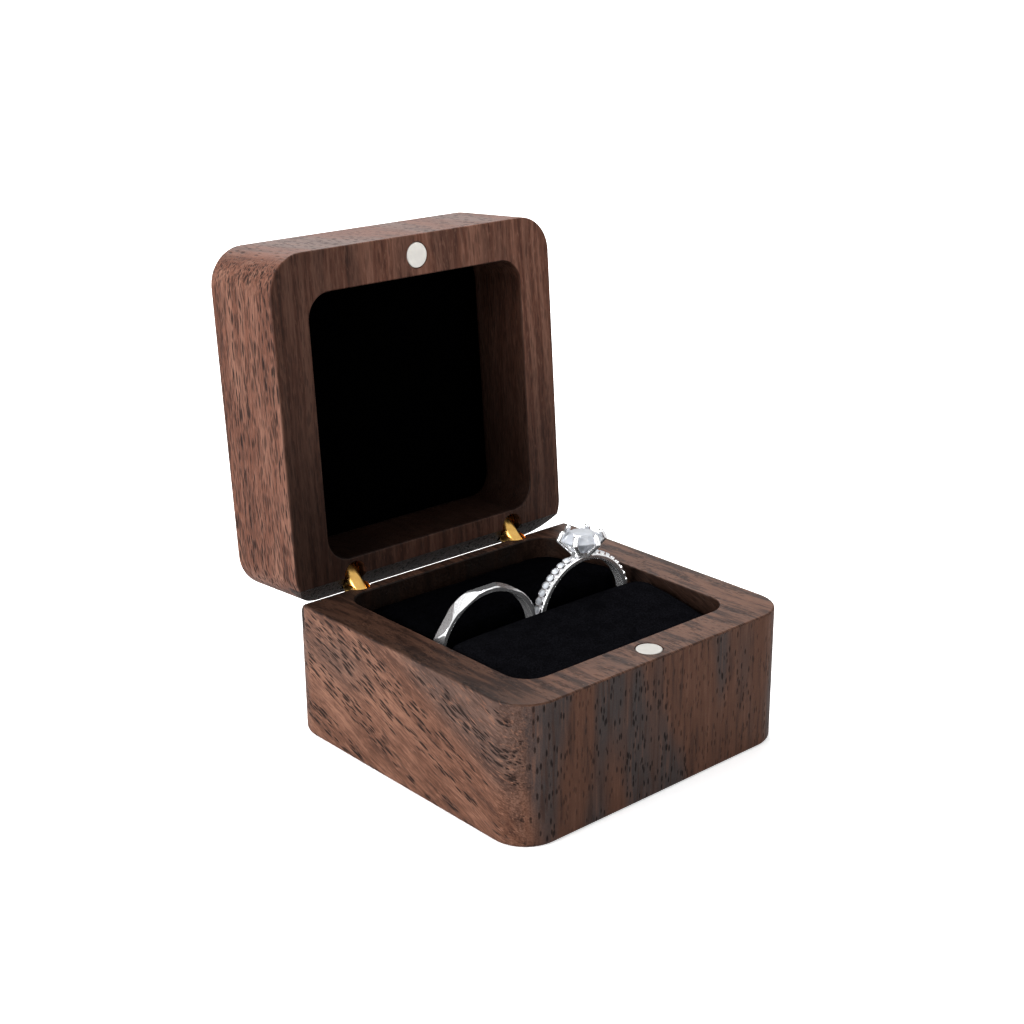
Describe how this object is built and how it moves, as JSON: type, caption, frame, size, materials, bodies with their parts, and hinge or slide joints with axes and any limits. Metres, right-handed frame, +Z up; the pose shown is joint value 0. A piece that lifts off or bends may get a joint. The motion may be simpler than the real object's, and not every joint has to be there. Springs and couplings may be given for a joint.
{
  "type": "ring box",
  "caption": "Square walnut ring box with rounded corners, hinged lid, magnetic catch and velvet pads holding a plain band and a claw-set ring.",
  "frame": {"origin": "middle of the base's flat underside", "axes": "+X along the hinge line to the right seen from the front, +Y from the front towards the hinge side, +Z up"},
  "size_m": [0.055, 0.0719, 0.075],
  "materials": {
    "walnut": "oiled walnut, open pores, satin",
    "nickel": "nickel plate, satin polish",
    "brass": "polished brass",
    "steel": "turned",
    "velvet": "black velvet, short pile",
    "foam": "soft open foam",
    "card": "black card",
    "white_gold": "high polish white metal",
    "gem": "clear, facet cut"
  },
  "bodies": {
    "base": {"base_shell": "walnut", "base_magnet": "nickel", "insert_card": "card", "rear_pad_foam": "foam", "rear_pad_cover": "velvet", "front_pad_foam": "foam", "front_pad_cover": "velvet", "band_ring": "white_gold", "solitaire_shank": "white_gold", "solitaire_head": "white_gold", "centre_stone": "gem", "shoulder_stones": "gem", "left_lower_barrel": "brass", "left_lower_pin": "steel", "right_lower_barrel": "brass", "right_lower_pin": "steel"},
    "hinge_links": {"left_link": "brass", "right_link": "brass"},
    "lid": {"lid_shell": "walnut", "lid_magnet": "nickel", "lid_lining_card": "card", "lid_lining_velvet": "velvet", "left_upper_barrel": "brass", "left_upper_pin": "steel", "right_upper_barrel": "brass", "right_upper_pin": "steel"}
  },
  "joints": [
    {"name": "link_fold", "type": "hinge", "parent": "base", "child": "hinge_links", "pos_m": [0, 0.02385, 0.0207], "axis": [1, 0, 0], "range_deg": [0, 46.9]},
    {"name": "lid_fold", "type": "hinge", "parent": "hinge_links", "child": "lid", "pos_m": [0, 0.02692, 0.02357], "axis": [1, 0, 0], "range_deg": [0, 46.9]}
  ],
  "couplings": [
    {"joint": "link_fold", "follows": "lid_fold", "ratio": 1}
  ]
}
